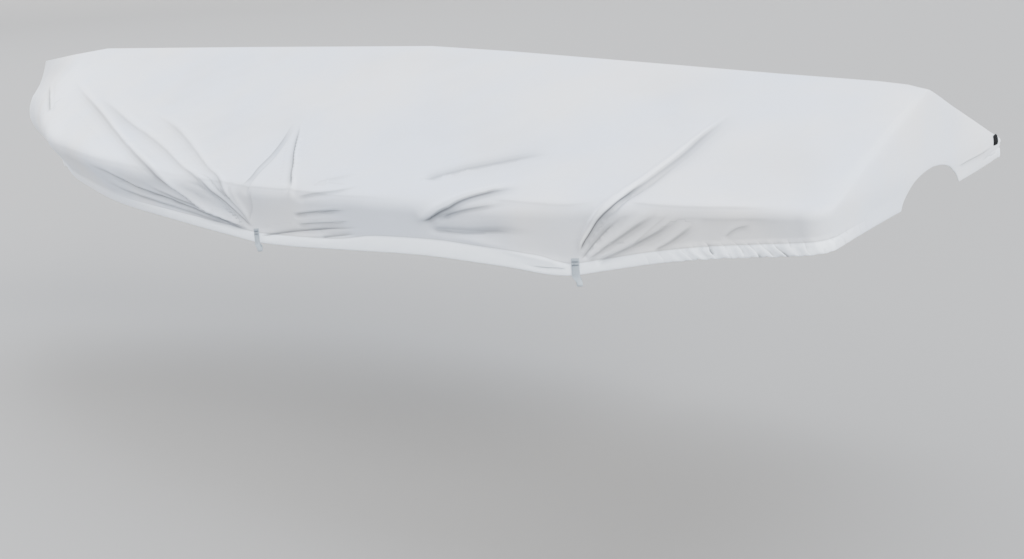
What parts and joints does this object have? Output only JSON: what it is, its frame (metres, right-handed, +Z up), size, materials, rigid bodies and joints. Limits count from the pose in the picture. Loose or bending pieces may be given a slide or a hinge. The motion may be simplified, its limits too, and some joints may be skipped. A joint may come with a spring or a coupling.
{
  "type": "boat cover",
  "caption": "Fitted cloth cover for a small open boat, with a gathered hem, a motor cut-out in the stern and webbing loops for tie-down straps.",
  "frame": {"origin": "under the ridge of the cover, where the middle support meets the cloth", "axes": "+X towards the stern, +Y to starboard, +Z up"},
  "size_m": [4.4976, 1.6113, 0.5975],
  "materials": {
    "cover_cloth": "matte coated polyester, light grey",
    "webbing": "matte woven polyester webbing, blue-grey",
    "dark_patch": "matte black polyester"
  },
  "bodies": {
    "root": {"cover": "cover_cloth", "loop_port_fore": "webbing", "loop_port_aft": "webbing", "loop_starboard_fore": "webbing", "loop_starboard_aft": "webbing", "corner_patch": "dark_patch"}
  },
  "joints": []
}
